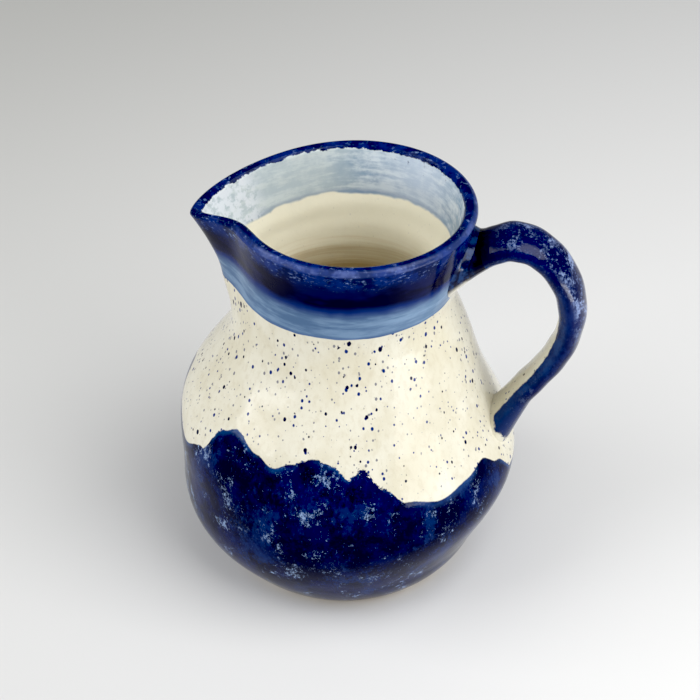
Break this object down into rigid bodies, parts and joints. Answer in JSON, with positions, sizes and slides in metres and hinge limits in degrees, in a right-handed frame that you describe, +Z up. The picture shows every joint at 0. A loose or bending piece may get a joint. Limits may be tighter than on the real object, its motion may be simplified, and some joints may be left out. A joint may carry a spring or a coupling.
{
  "type": "pitcher",
  "caption": "Round-bellied pouring jug with a waisted neck, a pulled pouring lip opposite a single loop handle, and a flat foot.",
  "frame": {"origin": "centre of the flat foot, on the surface the pitcher stands on", "axes": "+Z is up, from the foot to the rim; +X points from the foot's centre to the handle; the spout points roughly along -X; Y is across the handle and the spout"},
  "size_m": [0.1626, 0.137, 0.1655],
  "materials": {
    "clay": "matte unglazed fired clay",
    "cream_glaze": "glossy cream glaze with small dark specks",
    "cobalt_glaze": "glossy mottled cobalt blue glaze",
    "pale_blue_glaze": "glossy brushed pale blue wash"
  },
  "bodies": {
    "root": {"vessel": "clay", "handle": "clay", "upper_handle_joint": "clay", "lower_handle_joint": "clay", "liner_glaze": "cream_glaze", "inner_wash": "pale_blue_glaze", "rim_glaze": "cobalt_glaze", "collar_wash": "pale_blue_glaze", "cream_glaze": "cream_glaze", "wave_glaze": "cobalt_glaze", "handle_glaze": "cobalt_glaze", "handle_cream_glaze": "cream_glaze"}
  },
  "joints": []
}
